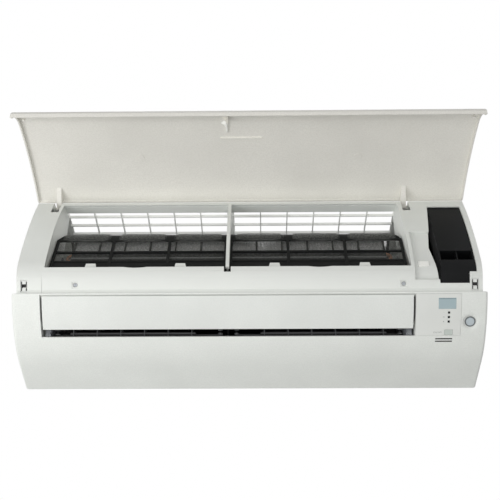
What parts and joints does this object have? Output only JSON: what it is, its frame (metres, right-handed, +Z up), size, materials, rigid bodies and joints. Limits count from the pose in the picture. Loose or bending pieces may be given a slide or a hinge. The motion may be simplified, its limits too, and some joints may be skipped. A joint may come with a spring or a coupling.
{
  "type": "mini split indoor unit",
  "caption": "Wall-mounted indoor unit of a split air conditioner with a hinged front panel lifted open over filters, coil, outlet flap and swing vanes.",
  "frame": {"origin": "centre of the mounting plate's rear face, which lies on the wall", "axes": "+Z up the wall, +Y out of the unit's back into the wall, -Y towards the room, +X to the right seen from the room"},
  "size_m": [0.798, 0.3786, 0.3597],
  "materials": {
    "case_white": "satin moulded plastic",
    "panel_white": "satin moulded plastic",
    "inner_white": "matt moulded plastic",
    "plate_steel": "zinc plated sheet",
    "module_black": "matt black plastic",
    "control_plate": "satin moulded plastic",
    "window_tint": "glossy display window",
    "status_clear": "translucent light guides",
    "ring_grey": "satin grey ring",
    "lens_blue": "glossy receiver lens",
    "button_white": "matt key top",
    "screw_steel": "plated steel",
    "fins": "bare fin stock",
    "coil_plate": "galvanised end plate",
    "copper": "bare copper tube",
    "pan_white": "matt foam and plastic",
    "fan_black": "matt black plastic",
    "motor_steel": "motor can",
    "box_black": "matt black plastic",
    "board_green": "circuit board",
    "filter_frame": "dark moulded frame",
    "filter_mesh": "fine woven mesh",
    "vane_grey": "dark moulded vanes",
    "rod_grey": "light grey link",
    "stepper_grey": "small motor can"
  },
  "bodies": {
    "casing": {"mounting_plate": "plate_steel", "rear_chassis": "inner_white", "casing_frame": "case_white", "lower_cover": "case_white", "side_module": "module_black", "display_plate": "control_plate", "display_window": "window_tint", "status_lenses": "status_clear", "receiver_ring": "ring_grey", "receiver_lens": "lens_blue", "latch_clips": "inner_white", "casing_screws": "screw_steel", "evaporator_front_fins": "fins", "evaporator_rear_fins": "fins", "evaporator_end_plates": "coil_plate", "evaporator_tubes": "copper", "drain_pan": "pan_white", "fan_bearing": "fan_black", "fan_motor": "motor_steel", "control_box": "box_black", "control_board": "board_green", "vane_support_left": "vane_grey", "vane_support_right": "vane_grey", "vane_motors": "stepper_grey", "flap_motor": "stepper_grey"},
    "front_panel": {"front_panel": "panel_white"},
    "flap": {"flap": "case_white"},
    "filter_left": {"filter_left_frame": "filter_frame", "filter_left_mesh": "filter_mesh"},
    "filter_right": {"filter_right_frame": "filter_frame", "filter_right_mesh": "filter_mesh"},
    "fan": {"fan_wheel": "fan_black", "fan_shafts": "screw_steel"},
    "on_off_button": {"on_off_button": "button_white"},
    "vane_left_1": {"vane_left_1": "vane_grey"},
    "vane_left_2": {"vane_left_2": "vane_grey"},
    "vane_left_3": {"vane_left_3": "vane_grey"},
    "vane_left_4": {"vane_left_4": "vane_grey"},
    "vane_left_5": {"vane_left_5": "vane_grey"},
    "vane_left_6": {"vane_left_6": "vane_grey"},
    "vane_rod_left": {"vane_rod_left": "rod_grey"},
    "vane_right_1": {"vane_right_1": "vane_grey"},
    "vane_right_2": {"vane_right_2": "vane_grey"},
    "vane_right_3": {"vane_right_3": "vane_grey"},
    "vane_right_4": {"vane_right_4": "vane_grey"},
    "vane_right_5": {"vane_right_5": "vane_grey"},
    "vane_right_6": {"vane_right_6": "vane_grey"},
    "vane_rod_right": {"vane_rod_right": "rod_grey"}
  },
  "joints": [
    {"name": "front_panel_hinge", "type": "hinge", "parent": "casing", "child": "front_panel", "pos_m": [0, -0.154, 0.138], "axis": [1, 0, 0], "range_deg": [0, 83.7]},
    {"name": "flap_hinge", "type": "hinge", "parent": "casing", "child": "flap", "pos_m": [-0.036, -0.15, -0.115], "axis": [1, 0, 0], "range_deg": [0, 75]},
    {"name": "filter_left_slide", "type": "slide", "parent": "casing", "child": "filter_left", "axis": [0, 0.2924, 0.9563], "range_m": [0, 0.02]},
    {"name": "filter_right_slide", "type": "slide", "parent": "casing", "child": "filter_right", "axis": [0, 0.2924, 0.9563], "range_m": [0, 0.02]},
    {"name": "fan_spin", "type": "hinge", "parent": "casing", "child": "fan", "pos_m": [-0.036, -0.102, -0.042], "axis": [1, 0, 0], "continuous": true},
    {"name": "button_press", "type": "slide", "parent": "casing", "child": "on_off_button", "axis": [0, 0.5603, 0.8283], "range_m": [0, 0.0012], "stiffness_N_per_m": 600},
    {"name": "vane_left_1_hinge", "type": "hinge", "parent": "casing", "child": "vane_left_1", "pos_m": [-0.098, -0.11093, -0.11387], "axis": [0, -0.5344, 0.8452], "range_deg": [-30, 30]},
    {"name": "vane_left_2_hinge", "type": "hinge", "parent": "casing", "child": "vane_left_2", "pos_m": [-0.1385, -0.11093, -0.11387], "axis": [0, -0.5344, 0.8452], "range_deg": [-30, 30]},
    {"name": "vane_left_3_hinge", "type": "hinge", "parent": "casing", "child": "vane_left_3", "pos_m": [-0.179, -0.11093, -0.11387], "axis": [0, -0.5344, 0.8452], "range_deg": [-30, 30]},
    {"name": "vane_left_4_hinge", "type": "hinge", "parent": "casing", "child": "vane_left_4", "pos_m": [-0.2195, -0.11093, -0.11387], "axis": [0, -0.5344, 0.8452], "range_deg": [-30, 30]},
    {"name": "vane_left_5_hinge", "type": "hinge", "parent": "casing", "child": "vane_left_5", "pos_m": [-0.26, -0.11093, -0.11387], "axis": [0, -0.5344, 0.8452], "range_deg": [-30, 30]},
    {"name": "vane_left_6_hinge", "type": "hinge", "parent": "casing", "child": "vane_left_6", "pos_m": [-0.3005, -0.11093, -0.11387], "axis": [0, -0.5344, 0.8452], "range_deg": [-30, 30]},
    {"name": "vane_rod_left_hinge", "type": "hinge", "parent": "vane_left_1", "child": "vane_rod_left", "pos_m": [-0.098, -0.12445, -0.12242], "axis": [0, -0.5344, 0.8452], "range_deg": [-30, 30]},
    {"name": "vane_right_1_hinge", "type": "hinge", "parent": "casing", "child": "vane_right_1", "pos_m": [0.026, -0.11093, -0.11387], "axis": [0, -0.5344, 0.8452], "range_deg": [-30, 30]},
    {"name": "vane_right_2_hinge", "type": "hinge", "parent": "casing", "child": "vane_right_2", "pos_m": [0.0665, -0.11093, -0.11387], "axis": [0, -0.5344, 0.8452], "range_deg": [-30, 30]},
    {"name": "vane_right_3_hinge", "type": "hinge", "parent": "casing", "child": "vane_right_3", "pos_m": [0.107, -0.11093, -0.11387], "axis": [0, -0.5344, 0.8452], "range_deg": [-30, 30]},
    {"name": "vane_right_4_hinge", "type": "hinge", "parent": "casing", "child": "vane_right_4", "pos_m": [0.1475, -0.11093, -0.11387], "axis": [0, -0.5344, 0.8452], "range_deg": [-30, 30]},
    {"name": "vane_right_5_hinge", "type": "hinge", "parent": "casing", "child": "vane_right_5", "pos_m": [0.188, -0.11093, -0.11387], "axis": [0, -0.5344, 0.8452], "range_deg": [-30, 30]},
    {"name": "vane_right_6_hinge", "type": "hinge", "parent": "casing", "child": "vane_right_6", "pos_m": [0.2285, -0.11093, -0.11387], "axis": [0, -0.5344, 0.8452], "range_deg": [-30, 30]},
    {"name": "vane_rod_right_hinge", "type": "hinge", "parent": "vane_right_1", "child": "vane_rod_right", "pos_m": [0.026, -0.12445, -0.12242], "axis": [0, -0.5344, 0.8452], "range_deg": [-30, 30]}
  ],
  "couplings": [
    {"joint": "vane_left_2_hinge", "follows": "vane_left_1_hinge", "ratio": 1},
    {"joint": "vane_left_3_hinge", "follows": "vane_left_1_hinge", "ratio": 1},
    {"joint": "vane_left_4_hinge", "follows": "vane_left_1_hinge", "ratio": 1},
    {"joint": "vane_left_5_hinge", "follows": "vane_left_1_hinge", "ratio": 1},
    {"joint": "vane_left_6_hinge", "follows": "vane_left_1_hinge", "ratio": 1},
    {"joint": "vane_rod_left_hinge", "follows": "vane_left_1_hinge", "ratio": -1},
    {"joint": "vane_right_2_hinge", "follows": "vane_right_1_hinge", "ratio": 1},
    {"joint": "vane_right_3_hinge", "follows": "vane_right_1_hinge", "ratio": 1},
    {"joint": "vane_right_4_hinge", "follows": "vane_right_1_hinge", "ratio": 1},
    {"joint": "vane_right_5_hinge", "follows": "vane_right_1_hinge", "ratio": 1},
    {"joint": "vane_right_6_hinge", "follows": "vane_right_1_hinge", "ratio": 1},
    {"joint": "vane_rod_right_hinge", "follows": "vane_right_1_hinge", "ratio": -1}
  ]
}
